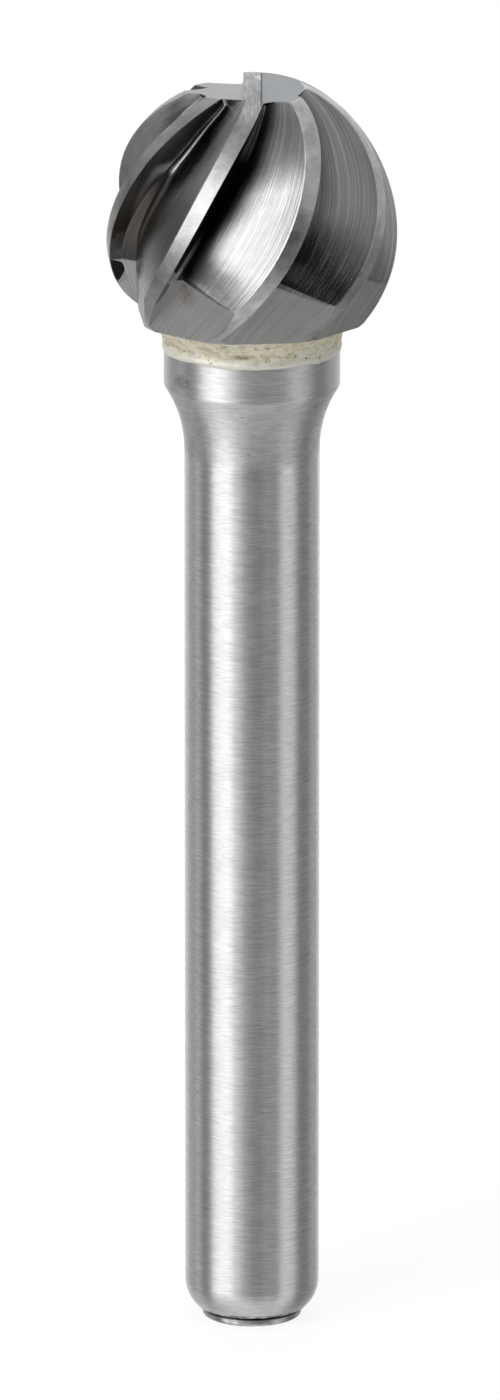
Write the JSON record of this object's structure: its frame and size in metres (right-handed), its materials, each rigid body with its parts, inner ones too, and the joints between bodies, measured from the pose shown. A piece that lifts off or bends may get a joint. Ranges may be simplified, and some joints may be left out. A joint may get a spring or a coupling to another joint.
{
  "type": "carbide burr",
  "caption": "Ball-shaped rotary burr: a fluted carbide head with helical cutting edges, brazed to the collar of a plain round steel shank for a collet.",
  "frame": {"origin": "centre of the shank's flat end face, which it stands on", "axes": "+Z along the shank's axis, from the end face towards the tip of the head"},
  "size_m": [0.0128, 0.0128, 0.0572],
  "materials": {
    "carbide": "ground cemented tungsten carbide",
    "braze": "as brazed",
    "steel": "fine turned and ground"
  },
  "bodies": {
    "root": {"carbide_head": "carbide", "braze_joint": "braze", "steel_shank": "steel"}
  },
  "joints": []
}
